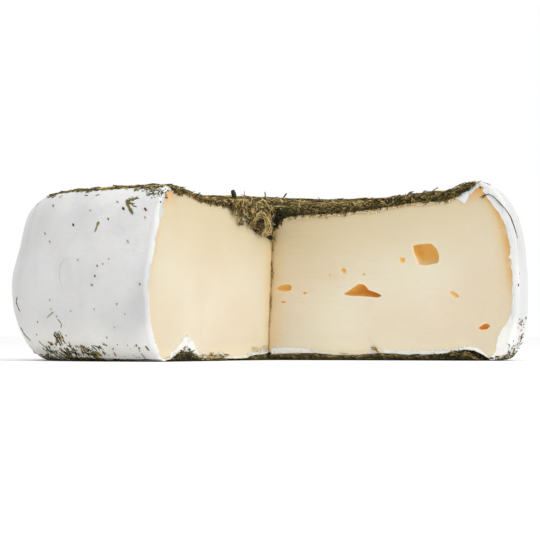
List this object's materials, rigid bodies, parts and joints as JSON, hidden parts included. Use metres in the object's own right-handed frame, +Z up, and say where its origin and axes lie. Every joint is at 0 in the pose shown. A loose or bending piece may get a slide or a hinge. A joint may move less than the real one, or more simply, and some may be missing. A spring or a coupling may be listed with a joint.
{
  "type": "soft cheese wheel with larch needles",
  "caption": "Squat round wheel of soft, white-rinded cheese with a quarter cut out, coated above and below with larch needles.",
  "frame": {"origin": "centre of the flat underside, on the wheel's axis, where the two cut faces meet", "axes": "+Z up along the wheel's axis; the missing quarter lies between +X and -Y, with one cut face along -Y and the other four degrees behind +X"},
  "size_m": [0.2507, 0.2489, 0.0854],
  "materials": {
    "paste": "moist, faintly translucent cream paste, orange under the rind",
    "rind": "matt, powdery white mould",
    "needles": "dry larch needles, dark olive to tan"
  },
  "bodies": {
    "root": {"cheese": "paste", "needle_coat_top": "needles", "needle_coat_bottom": "needles"}
  },
  "joints": []
}
